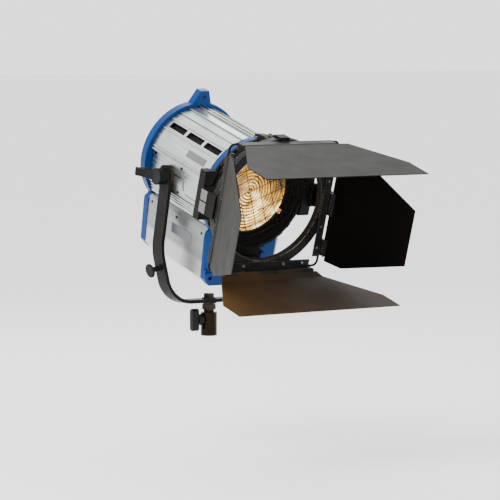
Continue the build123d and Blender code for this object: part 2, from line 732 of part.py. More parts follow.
GUARD_B, WIRE_R, GUARD_R, GUARD_PITCH = 210.3, 0.6, 83.2, 20.0
GUARD_TURN = 22.0          # the grid stands turned in its rim
with BuildPart() as wire_guard:
    with BuildSketch(level(0)):
        with Locations((GUARD_B, GUARD_R)):
            Circle(1.1)
    revolve(axis=BEAM)
    for place in range(8):
        offset_mm = (place - 3.5) * GUARD_PITCH
        reach = (GUARD_R**2 - offset_mm**2) ** 0.5
        for layer, angle in ((-0.3, GUARD_TURN), (0.3, GUARD_TURN + 90)):
            run = ACROSS * cos(radians(angle)) + UP * sin(radians(angle))
            place_on = LAMP_ORIGIN + FORWARD * (GUARD_B + layer) + run.cross(FORWARD) * offset_mm
            with BuildSketch(Plane(place_on, x_dir=FORWARD, z_dir=run)):
                Circle(WIRE_R)
            extrude(amount=reach, both=True)
save("wire_guard", wire_guard)


def spoke(b, angle):
    """Plane square to the beam, turned so that local x points outward at angle."""
    out = ACROSS * cos(radians(angle)) + UP * sin(radians(angle))
    return Plane(LAMP_ORIGIN + FORWARD * b, x_dir=out, z_dir=FORWARD)


SLOT_REAR = RING_B - GAP
SLOT_END = RING_B + RING_T + GAP
JAW_T, WALL_R, WALL_OUT, JAW_IN = 2.0, RING_R + 0.5, 118.0, 107.0
ARM_HALF = 20.0


def bracket_part(angle, low_b, high_b, low_r, high_r, half):
    """Add one block of a bracket, given along the beam and along its spoke."""
    with BuildSketch(spoke(low_b, angle)) as block:
        with Locations(((low_r + high_r) / 2, 0)):
            Rectangle(high_r - low_r, 2 * half)
    extrude(block.sketch, amount=high_b - low_b)


def channel(angle, half, wall_end):
    """Add a bracket's arm: a foot on the door, a step out, a wall and the rear jaw."""
    bracket_part(angle, 216, 220, 90, 112, half)
    bracket_part(angle, 220, 224, 105, WALL_OUT, half)
    bracket_part(angle, 224, wall_end, WALL_R, WALL_OUT, half)
    bracket_part(angle, SLOT_REAR - 4, SLOT_REAR, JAW_IN, WALL_OUT, half)


def front_jaw(angle, half):
    """Close a bracket's channel in front of the barn door's ring."""
    bracket_part(angle, SLOT_END, SLOT_END + JAW_T, JAW_IN, WALL_OUT, half)


with BuildPart() as accessory_brackets:
    for angle, shift in ((180, -4), (0, 4)):
        with BuildSketch(spoke(DOOR_B, angle)):
            with Locations((101, shift)):
                Rectangle(22, 84)
            Circle(DOOR_R, mode=Mode.SUBTRACT)
        extrude(amount=216 - DOOR_B)
        with BuildSketch(spoke(200, angle)):
            with Locations((105, shift)):
                Rectangle(14, 84)
        extrude(amount=DOOR_B - 200)
    for angle in (180, 0, 270):
        channel(angle, ARM_HALF, SLOT_END)
        front_jaw(angle, ARM_HALF)
save("accessory_brackets", accessory_brackets)

CATCH_B, CATCH_V, CATCH_R = 238.0, 109.2, 2.5    # hinge of the catch that holds accessories
CATCH_IN, CATCH_T, CATCH_OVER = 112.2, 1.4, 115.0
CATCH_JAW = SLOT_END + 0.5
with BuildPart() as catch_bracket:
    bracket_part(90, 216, 220, 90, 106.3, 14)
    bracket_part(90, 220, SLOT_REAR, 103, 106.3, 14)
    bracket_part(90, CATCH_B - 4, CATCH_B + 4, 106.3, CATCH_V + CATCH_R, 14)
    bracket_part(90, SLOT_REAR - 3, SLOT_REAR, 106.3, 113, 14)
    with BuildSketch(level(106.3)):
        with Locations((CATCH_B + 3, 0)):
            Rectangle(20, 20)
    extrude(amount=12, mode=Mode.SUBTRACT)
    with BuildSketch(beside(0)):
        with Locations((CATCH_B, CATCH_V)):
            Circle(1.5)
    extrude(amount=16, both=True, mode=Mode.SUBTRACT)
save("catch_bracket", catch_bracket)

with BuildPart() as catch_pin:
    with BuildSketch(beside(0)):
        with Locations((CATCH_B, CATCH_V)):
            Circle(1.5)
    extrude(amount=15, both=True)
save("catch_pin", catch_pin)

with BuildPart() as accessory_catch:
    with BuildSketch(beside(0)):
        with Locations((CATCH_B, CATCH_V)):
            Circle(CATCH_R)
        Polygon(
            (CATCH_B, CATCH_V + 2.3), (CATCH_B + 1, CATCH_V), (CATCH_B + 8, CATCH_OVER),
            (CATCH_JAW, CATCH_OVER), (CATCH_JAW, CATCH_IN), (CATCH_JAW + CATCH_T, CATCH_IN),
            (CATCH_JAW + CATCH_T, CATCH_OVER + 2), (CATCH_B + 7, CATCH_OVER + 2),
            align=None,
        )
        with Locations((CATCH_B, CATCH_V)):
            Circle(1.5 + RUN, mode=Mode.SUBTRACT)
    extrude(amount=9.6, both=True)
save("accessory_catch", accessory_catch)

LATCH_B, LATCH_V = 212.0, 101.0
with BuildPart() as latch_block:
    with BuildSketch(spoke(DOOR_B, 90)):
        with Locations((98.4, 0)):
            Rectangle(12.8, 26)
        Circle(DOOR_R, mode=Mode.SUBTRACT)
    extrude(amount=216 - DOOR_B)
    with BuildSketch(level(97.7)):
        with Locations((210.3, 0)):
            Rectangle(30, 17)
    extrude(amount=12, mode=Mode.SUBTRACT)
    with BuildSketch(beside(0)):
        with Locations((LATCH_B, LATCH_V)):
            Circle(1.5)
    extrude(amount=16, both=True, mode=Mode.SUBTRACT)
save("latch_block", latch_block)

with BuildPart() as latch_pin:
    with BuildSketch(beside(0)):
        with Locations((LATCH_B, LATCH_V)):
            Circle(1.5)
    extrude(amount=14, both=True)
save("latch_pin", latch_pin)

with BuildPart() as door_latch:
    with BuildSketch(beside(0)):
        with Locations((LATCH_B, LATCH_V)):
            Circle(3)
        Polygon(
            (LATCH_B, LATCH_V + 3), (LATCH_B, LATCH_V - 2.5), (206, 98.3), (193.5, 97.6),
            (192, 95.8), (189, 96.5), (189, 100), (206, 103.2),
            align=None,
        )
        with Locations((LATCH_B, LATCH_V)):
            Circle(1.5 + RUN, mode=Mode.SUBTRACT)
    extrude(amount=8, both=True)
save("door_latch", door_latch)

# ---- barn door: ring, hinge plates, pins, corner wires and leaves ---------------------------
PLATE_HALF = 93.0
FIXED_KNUCKLES = [(-90, -62), (-19, 19), (62, 90)]
LEAF_KNUCKLES = [(-61.5, -19.5), (19.5, 61.5)]
PLATE_IN, PLATE_OUT = 98.0, 111.5
PLATE_TOP = PLATE_B + PLATE_T
FLANGE_IN, FLANGE_OUT = 108.8, 111.2


def section(angle, along):
    """Plane across a leaf hinge: local x outward from the beam, local y forward."""
    out = ACROSS * cos(radians(angle)) + UP * sin(radians(angle))
    sideways = UP * cos(radians(angle)) - ACROSS * sin(radians(angle))
    return Plane(LAMP_ORIGIN + sideways * along, x_dir=out, z_dir=-sideways)


def knuckles(angle, axis, spans, bore, arm=None):
    """Add hinge knuckles round an axis; arm is a block that joins each to its plate."""
    for low, high in spans:
        with BuildSketch(section(angle, (low + high) / 2)) as knuckle:
            with Locations(axis):
                Circle(KNUCKLE_R)
            if arm:
                (low_r, low_b), (high_r, high_b) = arm
                with Locations(((low_r + high_r) / 2, (low_b + high_b) / 2)):
                    Rectangle(high_r - low_r, high_b - low_b)
            with Locations(axis):
                Circle(bore, mode=Mode.SUBTRACT)
        extrude(knuckle.sketch, amount=(high - low) / 2, both=True)


with BuildPart() as barn_ring:
    with BuildSketch(across(RING_B)):
        Circle(RING_R)
        Circle(RING_IN, mode=Mode.SUBTRACT)
    extrude(amount=RING_T)
    with BuildSketch(across(RING_B + RING_T)):
        with PolarLocations(102, 4):
            Rectangle(8, 56)
        Circle(JAW_IN - 1, mode=Mode.INTERSECT)
    extrude(amount=PLATE_B - RING_B - RING_T)
save("barn_ring", barn_ring)

SIDE_LEAVES = (("near", 180, NEAR_HINGE_B, NEAR_OPEN), ("far", 0, FAR_HINGE_B, FAR_OPEN))
CROSS_LEAVES = (("top", 90, 116.0, 113.5, 444.0), ("bottom", 270, 117.0, 117.0, 438.0))
with BuildPart() as hinge_plates:
    for _, angle, hinge_b, _ in SIDE_LEAVES:
        bracket_part(angle, PLATE_B, PLATE_TOP, PLATE_IN, PLATE_OUT, PLATE_HALF)
        arm = ((PLATE_OUT - 2, PLATE_B), (SIDE_HINGE_X - 0.5, hinge_b - 1))
        knuckles(angle, (SIDE_HINGE_X, hinge_b), FIXED_KNUCKLES, PIN_R, arm)
    for _, angle, *_ in CROSS_LEAVES:
        bracket_part(angle, PLATE_B, PLATE_TOP, PLATE_IN, FLANGE_OUT, PLATE_HALF)
        bracket_part(angle, PLATE_TOP, CROSS_HINGE_B - 4, FLANGE_IN, FLANGE_OUT, PLATE_HALF)
        arm = ((FLANGE_IN, CROSS_HINGE_B - 5), (FLANGE_OUT, CROSS_HINGE_B - 1))
        knuckles(angle, (CROSS_HINGE_V, CROSS_HINGE_B), FIXED_KNUCKLES, PIN_R, arm)
save("hinge_plates", hinge_plates)

with BuildPart() as hinge_pins:
    pin_axes = [(angle, SIDE_HINGE_X, hinge_b) for _, angle, hinge_b, _ in SIDE_LEAVES]
    pin_axes += [(angle, CROSS_HINGE_V, CROSS_HINGE_B) for _, angle, *_ in CROSS_LEAVES]
    for angle, axis_r, axis_b in pin_axes:
        with BuildSketch(section(angle, 0)):
            with Locations((axis_r, axis_b)):
                Circle(PIN_R)
        extrude(amount=PLATE_HALF - 1, both=True)
save("hinge_pins", hinge_pins)

CORNER_R, CORNER_WIRE_R = 109.0, 2.0
with BuildPart() as corner_wires:
    for angle in (0, 90, 180, 270):
        corner = spoke(PLATE_B + 2.2, angle)
        with BuildLine(corner):
            FilletPolyline(
                (CORNER_R, PLATE_HALF), (CORNER_R, CORNER_R), (PLATE_HALF, CORNER_R), radius=9
            )
        start = corner.from_local_coords((CORNER_R, PLATE_HALF, 0))
        with BuildSketch(Plane(start, x_dir=FORWARD, z_dir=corner.y_dir)):
            Circle(CORNER_WIRE_R)
        sweep()
save("corner_wires", corner_wires)

LEAF_START = KNUCKLE_R + 0.6
SIDE_LEAF_L, SIDE_SQUARE_L, SIDE_HALF, SIDE_TIP_HALF = 170.0, 42.0, 98.0, 48.0
for side, angle, hinge_b, opening in SIDE_LEAVES:
    axis = (SIDE_HINGE_X, hinge_b)
    mid = section(angle, 0)
    hinge_point = mid.from_local_coords((*axis, 0))
    along = FORWARD * cos(radians(opening)) + mid.x_dir * sin(radians(opening))
    leaf_plane = Plane(hinge_point, x_dir=along, z_dir=along.cross(mid.z_dir))
    with BuildPart() as side_leaf:
        with BuildSketch(leaf_plane):
            Polygon(
                (LEAF_START, -SIDE_HALF), (SIDE_SQUARE_L, -SIDE_HALF),
                (SIDE_LEAF_L, -SIDE_TIP_HALF), (SIDE_LEAF_L, SIDE_TIP_HALF),
                (SIDE_SQUARE_L, SIDE_HALF), (LEAF_START, SIDE_HALF),
                align=None,
            )
            for low, high in LEAF_KNUCKLES:
                with Locations((LEAF_START / 2 + 1.5, (low + high) / 2)):
                    Rectangle(LEAF_START - 1, high - low)
        extrude(amount=LEAF_T / 2, both=True)
        knuckles(angle, axis, LEAF_KNUCKLES, PIN_R + RUN)
    save(f"{side}_leaf", side_leaf)

BEND_B = 297.0
SQUARE_B, CROSS_HALF, CROSS_ROOT_HALF = 390.0, 160.0, 93.0
for side, angle, bend_v, tip_v, tip_b in CROSS_LEAVES:
    bend_run = Vector(bend_v - CROSS_HINGE_V, BEND_B - CROSS_HINGE_B).normalized()
    axis = (CROSS_HINGE_V, CROSS_HINGE_B)
    mid = section(angle, 0)
    plan = Plane(LAMP_ORIGIN, x_dir=FORWARD, z_dir=mid.x_dir)
    with BuildPart() as cross_leaf:
        with BuildSketch(mid):
            with BuildLine():
                Polyline(
                    (axis[0] + bend_run.X * LEAF_START, axis[1] + bend_run.Y * LEAF_START),
                    (bend_v, BEND_B), (tip_v, tip_b),
                )
            trace(line_width=LEAF_T)
        extrude(amount=CROSS_HALF, both=True)
        with BuildSketch(plan):
            Polygon(
                (CROSS_HINGE_B, -CROSS_ROOT_HALF), (SQUARE_B, -CROSS_HALF),
                (tip_b, -CROSS_HALF), (tip_b, CROSS_HALF),
                (SQUARE_B, CROSS_HALF), (CROSS_HINGE_B, CROSS_ROOT_HALF),
                align=None,
            )
        extrude(amount=130, mode=Mode.INTERSECT)
        for low, high in LEAF_KNUCKLES:
            tab_mid = section(angle, (low + high) / 2)
            with BuildSketch(tab_mid):
                with BuildLine():
                    Line(
                        (axis[0] + bend_run.X * 2, axis[1] + bend_run.Y * 2),
                        (axis[0] + bend_run.X * 5, axis[1] + bend_run.Y * 5),
                    )
                trace(line_width=LEAF_T)
            extrude(amount=(high - low) / 2, both=True)
        knuckles(angle, axis, LEAF_KNUCKLES, PIN_R + RUN)
    save(f"{side}_leaf", cross_leaf)
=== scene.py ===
"""Looks of the fresnel spotlight: materials, small visual detail, light and camera.

Blender works in metres, in the row frame. The small pieces are given in the head's own
coordinates, as in the CAD part: x across, v up and b forward along the beam, in millimetres.
"""
import json
import math

import bmesh
import bpy
from mathutils import Matrix, Vector


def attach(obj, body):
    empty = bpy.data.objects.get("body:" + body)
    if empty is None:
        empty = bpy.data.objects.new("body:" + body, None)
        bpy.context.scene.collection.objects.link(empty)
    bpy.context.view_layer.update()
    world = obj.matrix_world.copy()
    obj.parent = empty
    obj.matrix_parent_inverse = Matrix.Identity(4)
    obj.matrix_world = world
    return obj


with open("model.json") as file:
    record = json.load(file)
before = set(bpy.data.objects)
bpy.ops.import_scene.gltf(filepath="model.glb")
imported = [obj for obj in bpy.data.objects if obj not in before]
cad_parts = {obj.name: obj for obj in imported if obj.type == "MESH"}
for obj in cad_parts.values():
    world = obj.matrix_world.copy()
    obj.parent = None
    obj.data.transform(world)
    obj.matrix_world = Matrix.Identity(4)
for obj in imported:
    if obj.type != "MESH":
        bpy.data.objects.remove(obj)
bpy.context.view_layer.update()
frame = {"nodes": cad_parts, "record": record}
NODES = frame["nodes"]

# ---- the head's own frame ----------------------------------------------------
TILT = math.radians(17)      # the beam points down by this much at rest
PIVOT_HEIGHT = 0.273
PIVOT_B, PIVOT_V = 0.070, -0.014
ACROSS = Vector((1, 0, 0))
FORWARD = Vector((0, -math.cos(TILT), -math.sin(TILT)))
UP = Vector((0, -math.sin(TILT), math.cos(TILT)))
HEAD_ORIGIN = Vector((0, 0, PIVOT_HEIGHT)) - FORWARD * PIVOT_B - UP * PIVOT_V


def at(x, v, b):
    """Point of the row frame for head coordinates in millimetres."""
    return HEAD_ORIGIN + (ACROSS * x + UP * v + FORWARD * b) / 1000


# ---- shader helpers ----------------------------------------------------------
NOISE_ROUGHNESS = 0.55     # how strongly the finer layers of a noise show


class Shader:
    """A Principled material that is built up node by node."""

    def __init__(self, name, color, roughness, metallic=0.0, specular=0.5):
        self.material = bpy.data.materials.new(name)
        self.material.use_nodes = True
        self.tree = self.material.node_tree
        self.bsdf = self.tree.nodes["Principled BSDF"]
        self.coordinates = self.add("ShaderNodeTexCoord").outputs["Object"]
        self.color = self.rgb(color)          # what the next tint is mixed over
        self.bsdf.inputs["Base Color"].default_value = (*color, 1)
        self.bsdf.inputs["Roughness"].default_value = roughness
        self.bsdf.inputs["Metallic"].default_value = metallic
        self.bsdf.inputs["Specular IOR Level"].default_value = specular

    def add(self, kind, **settings):
        """A new node with its properties set."""
        node = self.tree.nodes.new(kind)
        for key, value in settings.items():
            setattr(node, key, value)
        return node

    def link(self, a, b):
        """Joins an output to an input."""
        self.tree.links.new(a, b)

    def rgb(self, color):
        """A constant colour as an output."""
        node = self.add("ShaderNodeRGB")
        node.outputs[0].default_value = (*color, 1)
        return node.outputs[0]

    def noise(self, scale, detail=4.0, stretch=None):
        """Noise in object space; stretch scales x, beam and v in the head's frame."""
        vector = self.coordinates
        if stretch:
            turn = self.add("ShaderNodeMapping", vector_type="POINT")
            turn.inputs["Rotation"].default_value = (-TILT, 0, 0)
            squeeze = self.add("ShaderNodeMapping", vector_type="POINT")
            squeeze.inputs["Scale"].default_value = stretch
            self.link(vector, turn.inputs["Vector"])
            self.link(turn.outputs["Vector"], squeeze.inputs["Vector"])
            vector = squeeze.outputs["Vector"]
        node = self.add("ShaderNodeTexNoise")
        node.inputs["Scale"].default_value = scale
        node.inputs["Detail"].default_value = detail
        node.inputs["Roughness"].default_value = NOISE_ROUGHNESS
        self.link(vector, node.inputs["Vector"])
        return node.outputs["Fac"]

    def from_beam(self):
        """Distance from the beam's axis, in metres."""
        turn = self.add("ShaderNodeMapping", vector_type="POINT")
        turn.inputs["Rotation"].default_value = (-TILT, 0, 0)
        turn.inputs["Location"].default_value = (0, 0, -UP.dot(HEAD_ORIGIN))
        flat = self.add("ShaderNodeVectorMath", operation="MULTIPLY")
        flat.inputs[1].default_value = (1, 0, 1)
        length = self.add("ShaderNodeVectorMath", operation="LENGTH")
        self.link(self.coordinates, turn.inputs["Vector"])
        self.link(turn.outputs["Vector"], flat.inputs[0])
        self.link(flat.outputs["Vector"], length.inputs[0])
        return length.outputs["Value"]

    def height(self):
        """Height above the beam's axis in the head's frame, in metres."""
        offset = self.add("ShaderNodeVectorMath", operation="SUBTRACT")
        offset.inputs[1].default_value = HEAD_ORIGIN
        along = self.add("ShaderNodeVectorMath", operation="DOT_PRODUCT")
        along.inputs[1].default_value = UP
        self.link(self.coordinates, offset.inputs[0])
        self.link(offset.outputs["Vector"], along.inputs[0])
        return along.outputs["Value"]

    def arithmetic(self, operation, a, b):
        """One arithmetic step; a and b are outputs or numbers."""
        node = self.add("ShaderNodeMath", operation=operation)
        for socket, value in zip(node.inputs, (a, b)):
            if isinstance(value, (int, float)):
                socket.default_value = value
            else:
                self.link(value, socket)
        return node.outputs["Value"]

    def ramp(self, factor, low, high, start=0.0, end=1.0):
        """factor remapped from low..high to start..end, clamped."""
        node = self.add("ShaderNodeMapRange")
        limits = {"From Min": low, "From Max": high, "To Min": start, "To Max": end}
        for key, value in limits.items():
            node.inputs[key].default_value = value
        self.link(factor, node.inputs["Value"])
        return node.outputs["Result"]

    def tint(self, factor, color, strength=1.0):
        """Mixes another colour over the base where factor is high."""
        node = self.add("ShaderNodeMix", data_type="RGBA")
        if strength != 1.0:
            factor = self.ramp(factor, 0, 1, 0, strength)
        self.link(factor, node.inputs["Factor"])
        self.link(self.color, node.inputs["A"])
        self.link(self.rgb(color), node.inputs["B"])
        self.color = node.outputs["Result"]
        self.link(self.color, self.bsdf.inputs["Base Color"])

    def vary_roughness(self, factor, low, high):
        """Drives the roughness from a factor."""
        self.link(self.ramp(factor, 0.3, 0.7, low, high), self.bsdf.inputs["Roughness"])

    def bump(self, factor, depth_mm, strength):
        """A bump from a height factor."""
        node = self.add("ShaderNodeBump")
        node.inputs["Strength"].default_value = strength
        node.inputs["Distance"].default_value = depth_mm / 1000
        self.link(factor, node.inputs["Height"])
        self.link(node.outputs["Normal"], self.bsdf.inputs["Normal"])

    def worn_edges(self, color, reach_mm, strength):
        """Lighter paint or bare metal along convex edges, broken up by noise."""
        bevel = self.add("ShaderNodeBevel", samples=4)
        bevel.inputs["Radius"].default_value = reach_mm / 1000
        geometry = self.add("ShaderNodeNewGeometry")
        dot = self.add("ShaderNodeVectorMath", operation="DOT_PRODUCT")
        self.link(bevel.outputs["Normal"], dot.inputs[0])
        self.link(geometry.outputs["Normal"], dot.inputs[1])
        edge = self.ramp(dot.outputs["Value"], 0.99, 0.80)
        broken = self.ramp(self.noise(260), 0.42, 0.62)
        self.tint(self.arithmetic("MULTIPLY", edge, broken), color, strength)

    def painted_crevice_shade(self, color, reach_mm, strength):
        """Painted shade: a darker tone in corners and grooves, from ambient occlusion."""
        node = self.add("ShaderNodeAmbientOcclusion", samples=6)
        node.inputs["Distance"].default_value = reach_mm / 1000
        self.tint(self.ramp(node.outputs["AO"], 0.85, 0.35), color, strength)


# ---- materials -----------------------------------------------------------------
CREASE_HIGHLIGHT_V = (-0.118, -0.126)      # the lower box's side is painted brighter below its crease: a painted highlight
BARE_EDGE = (0.12, 0.117, 0.11)  # rubbed paint along the edges of sheet
FACET_WIDTH = 0.0055             # of the lens's rings, in metres
PAINTED_LENS_GLOW = 2.0


def blue_casting():
    """Enamel over a casting, rubbed lighter along its edges, with painted shade in its corners and
    grooves.
    """
    s = Shader("blue enamel", (0.0, 0.027, 0.125), 0.36, specular=0.12)
    patch = s.noise(45)
    s.tint(s.ramp(patch, 0.35, 0.7), (0.0, 0.034, 0.150), 0.5)
    s.worn_edges((0.01, 0.075, 0.22), 0.9, 0.4)
    # painted shade: darker blue in corners and grooves
    s.painted_crevice_shade((0.0, 0.008, 0.045), 5, 0.7)
    s.vary_roughness(s.noise(90), 0.30, 0.44)
    s.bump(s.noise(900, 2), 0.12, 0.3)
    return s.material


def extruded_aluminium():
    """Bright metal with its grain along the beam and painted shade darkening its grooves."""
    s = Shader("extruded aluminium", (0.46, 0.50, 0.49), 0.28, 1.0)
    grain = s.noise(300, 3, (1.0, 0.02, 1.0))
    s.tint(s.ramp(grain, 0.3, 0.7), (0.66, 0.70, 0.69), 0.7)
    s.tint(s.ramp(s.noise(14), 0.52, 0.75), (0.27, 0.27, 0.25), 0.5)
    # painted shade: darker in the grooves
    s.painted_crevice_shade((0.07, 0.07, 0.065), 5, 0.9)
    s.vary_roughness(grain, 0.24, 0.38)
    s.bump(grain, 0.05, 0.25)
    return s.material


def folded_aluminium():
    """Satin sheet metal, with a painted highlight below the lower box's crease."""
    s = Shader("folded aluminium", (0.27, 0.295, 0.285), 0.36, 1.0)
    grain = s.noise(380, 3, (1.0, 0.03, 1.0))
    s.tint(s.ramp(grain, 0.3, 0.7), (0.36, 0.385, 0.375), 0.6)
    # painted highlight: lighter below the crease, where the light falls on the side
    s.tint(s.ramp(s.height(), *CREASE_HIGHLIGHT_V), (0.62, 0.63, 0.62), 0.8)
    s.vary_roughness(s.noise(60), 0.30, 0.44)
    s.bump(grain, 0.04, 0.2)
    return s.material


def matt_black(name, color, dust, roughness=0.55):
    """Heat-proof black paint, dusty and scratched."""
    s = Shader(name, color, roughness, specular=0.07)
    cloud = s.noise(16, 6)
    s.tint(s.ramp(cloud, 0.42, 0.75), dust, 0.5)
    s.worn_edges((0.16, 0.155, 0.145), 0.6, 0.5)
    s.tint(s.ramp(s.noise(120, 8, (1.0, 0.15, 1.0)), 0.66, 0.74), dust, 0.6)
    s.vary_roughness(s.noise(40), roughness - 0.08, roughness + 0.12)
    s.bump(s.noise(1400, 2), 0.05, 0.3)
    return s.material


def plain_sheet(name, color, roughness=0.52):
    """Even heat-proof paint on sheet."""
    s = Shader(name, color, roughness, specular=0.05)
    s.tint(s.ramp(s.noise(9, 2), 0.35, 0.7), tuple(c * 1.18 for c in color), 0.5)
    s.worn_edges(BARE_EDGE, 0.5, 0.5)
    s.vary_roughness(s.noise(30, 2), roughness - 0.04, roughness + 0.05)
    return s.material


def beam_lit_leaf_sheet():
    """The lower leaf's inside with painted light from the beam: warmer towards the near side, where
    the beam strikes it.
    """
    s = Shader("beam-lit leaf inside", (0.030, 0.0245, 0.0195), 0.55, specular=0.05)
    split = s.add("ShaderNodeSeparateXYZ")
    s.link(s.coordinates, split.inputs["Vector"])
    # painted light: warm beam light on the near side
    s.tint(s.ramp(split.outputs["X"], 0.09, -0.12), (0.056, 0.029, 0.0105), 1.0)
    s.tint(s.ramp(s.noise(14, 2), 0.4, 0.7), (0.012, 0.009, 0.006), 0.4)
    s.worn_edges(BARE_EDGE, 0.5, 0.5)
    return s.material


def ring_metal():
    """Black ring, worn to metal where the brackets rub."""
    s = Shader("worn ring", (0.010, 0.0098, 0.0092), 0.42, specular=0.10)
    s.tint(s.ramp(s.noise(22, 6), 0.45, 0.75), (0.028, 0.027, 0.025), 0.6)
    s.worn_edges((0.30, 0.295, 0.28), 0.8, 0.8)
    s.vary_roughness(s.noise(50), 0.30, 0.5)
    s.bump(s.noise(1100, 2), 0.05, 0.25)
    return s.material


def steel(name, color, roughness):
    """Plated or blackened metal with darker patches."""
    s = Shader(name, color, roughness, 1.0)
    s.tint(s.ramp(s.noise(130, 6), 0.5, 0.8), tuple(c * 0.5 for c in color), 0.6)
    s.vary_roughness(s.noise(80), roughness - 0.08, roughness + 0.12)
    s.bump(s.noise(700, 3), 0.03, 0.3)
    return s.material


def plastic(name, color, roughness):
    """Moulded plastic, ceramic or fibre."""
    s = Shader(name, color, roughness, specular=0.12)
    s.tint(s.ramp(s.noise(60), 0.5, 0.8), tuple(c * 1.8 + 0.004 for c in color), 0.5)
    s.worn_edges(tuple(c * 4 + 0.03 for c in color), 0.8, 0.5)
    s.vary_roughness(s.noise(50), roughness - 0.06, roughness + 0.1)
    s.bump(s.noise(1500, 2), 0.06, 0.35)
    return s.material


def bulb_glass():
    """Clear quartz."""
    s = Shader("bulb glass", (1.0, 0.95, 0.85), 0.04)
    s.bsdf.inputs["Transmission Weight"].default_value = 1.0
    s.bsdf.inputs["IOR"].default_value = 1.47
    s.vary_roughness(s.noise(500), 0.02, 0.07)
    return s.material


def lens_with_painted_glow():
    """Pressed glass, lit from behind, with that light painted in as emission: golden rings,
    brightest round the middle and lower down.
    """
    s = Shader("lens glass", (0.85, 0.68, 0.42), 0.06)
    s.bsdf.inputs["Transmission Weight"].default_value = 0.75
    s.bsdf.inputs["IOR"].default_value = 1.47
    s.vary_roughness(s.noise(500), 0.03, 0.09)
    radius = s.from_beam()
    turns = s.arithmetic("MULTIPLY", radius, 2 * math.pi / FACET_WIDTH)
    wave = s.arithmetic("SINE", turns, 0)
    ring = s.ramp(wave, -0.6, 0.7, 0.22, 1.0)
    # painted shade: darker base colour in the rings' troughs
    s.tint(s.ramp(wave, -0.1, -0.9), (0.10, 0.045, 0.010), 0.9)
    # painted light: a glowing pattern of rings and clouds, fading outward and brighter in the lower
    # part
    cloud = s.ramp(s.noise(30, 4), 0.38, 0.62, 0.15, 1.15)
    fade = s.ramp(radius, 0.016, 0.070, 1.0, 0.80)
    lower = s.ramp(s.height(), 0.025, -0.040, 0.50, 1.60)
    glow = ring
    for factor in (cloud, fade, lower):
        glow = s.arithmetic("MULTIPLY", glow, factor)
    ramp = s.add("ShaderNodeValToRGB")
    stops = ramp.color_ramp.elements
    stops[0].position, stops[0].color = 0.05, (0.11, 0.040, 0.003, 1)
    stops[1].position, stops[1].color = 0.95, (1.0, 0.92, 0.52, 1)
    middle = stops.new(0.50)
    middle.color = (0.66, 0.33, 0.020, 1)
    s.link(glow, ramp.inputs["Fac"])
    s.link(ramp.outputs["Color"], s.bsdf.inputs["Emission Color"])
    s.link(s.ramp(glow, 0.0, 1.0, 0.05, PAINTED_LENS_GLOW), s.bsdf.inputs["Emission Strength"])
    return s.material


def mirror():
    """Polished reflector."""
    s = Shader("reflector", (0.93, 0.86, 0.70), 0.10, 1.0)
    s.vary_roughness(s.noise(200), 0.06, 0.16)
    return s.material


def glowing(name, color, strength):
    """Something that gives off light: the hot filament, and the clips' painted glint."""
    s = Shader(name, color, 0.5)
    s.bsdf.inputs["Emission Color"].default_value = (*color, 1)
    s.bsdf.inputs["Emission Strength"].default_value = strength
    return s.material


MATERIALS = {
    "blue_casting": blue_casting(),
    "bright_shell": extruded_aluminium(),
    "grey_housing": folded_aluminium(),
    "black_sheet": matt_black("black sheet", (0.0055, 0.005, 0.0046), (0.014, 0.013, 0.012)),
    # painted shade: the leaves' inside is painted near black, darker than their outside
    "leaf_black": plain_sheet("leaf inside", (0.0022, 0.0013, 0.0009), 0.6),
    "ring_metal": ring_metal(),
    "black_steel": matt_black(
        "black steel", (0.0050, 0.0045, 0.0039), (0.013, 0.012, 0.0102), 0.40
    ),
    "cast_bronze_grey": steel("socket steel", (0.015, 0.0105, 0.0065), 0.26),
    "zinc_steel": steel("zinc steel", (0.46, 0.45, 0.42), 0.30),
    "black_plastic": plastic("black plastic", (0.0045, 0.0045, 0.0045), 0.40),
    "washer_fibre": plastic("fibre", (0.02, 0.016, 0.012), 0.7),
    "lens_glass": lens_with_painted_glow(),
    "reflector_mirror": mirror(),
    "ceramic": plastic("ceramic", (0.70, 0.67, 0.58), 0.35),
    "carriage_metal": steel("carriage", (0.40, 0.40, 0.39), 0.4),
    "brass_nut": steel("brass", (0.60, 0.42, 0.16), 0.3),
    "tungsten": glowing("filament", (1.0, 0.62, 0.25), 60.0),
}
DARK_STEEL = steel("blackened steel", (0.030, 0.027, 0.023), 0.36)
OWN_FINISH = {
    "lamp_bulb": bulb_glass(),
    # painted highlight: the clips glow orange where the lens's light catches them
    "lens_clips": glowing("clip with painted glint", (0.85, 0.36, 0.09), 0.5),
    "neck_nut": DARK_STEEL,
    "yoke_washers": DARK_STEEL,
    "yoke_bolt": DARK_STEEL,
    "hinge_pins": DARK_STEEL,
    "door_hinge_pin": DARK_STEEL,
    "catch_pin": DARK_STEEL,
    "latch_pin": DARK_STEEL,
}
slots = {row["node"]: row["material_slot"] for row in frame["record"]["subparts"]}
for name, obj in NODES.items():
    obj.data.materials.clear()
    obj.data.materials.append(OWN_FINISH.get(name) or MATERIALS[slots[name]])

# painted light and shade: the leaves are greyer outside, where light falls, than inside, whose
# near-black paint is painted shade; both sides are the same paint
LIT_LEAF_OUTSIDE = plain_sheet("lit leaf outside", (0.0225, 0.0221, 0.0200))
NODES["bottom_leaf"].data.materials[0] = beam_lit_leaf_sheet()
LEAF_OUTWARD = {
    "top_leaf": UP, "bottom_leaf": -UP, "near_leaf": -ACROSS, "far_leaf": ACROSS,
}
FACES_OUT = 0.3      # how far a face's normal has to lean outward to count as outside
for name, outward in LEAF_OUTWARD.items():
    mesh = NODES[name].data
    mesh.materials.append(LIT_LEAF_OUTSIDE)
    for face in mesh.polygons:
        if face.normal.dot(outward) > FACES_OUT:
            face.material_index = 1


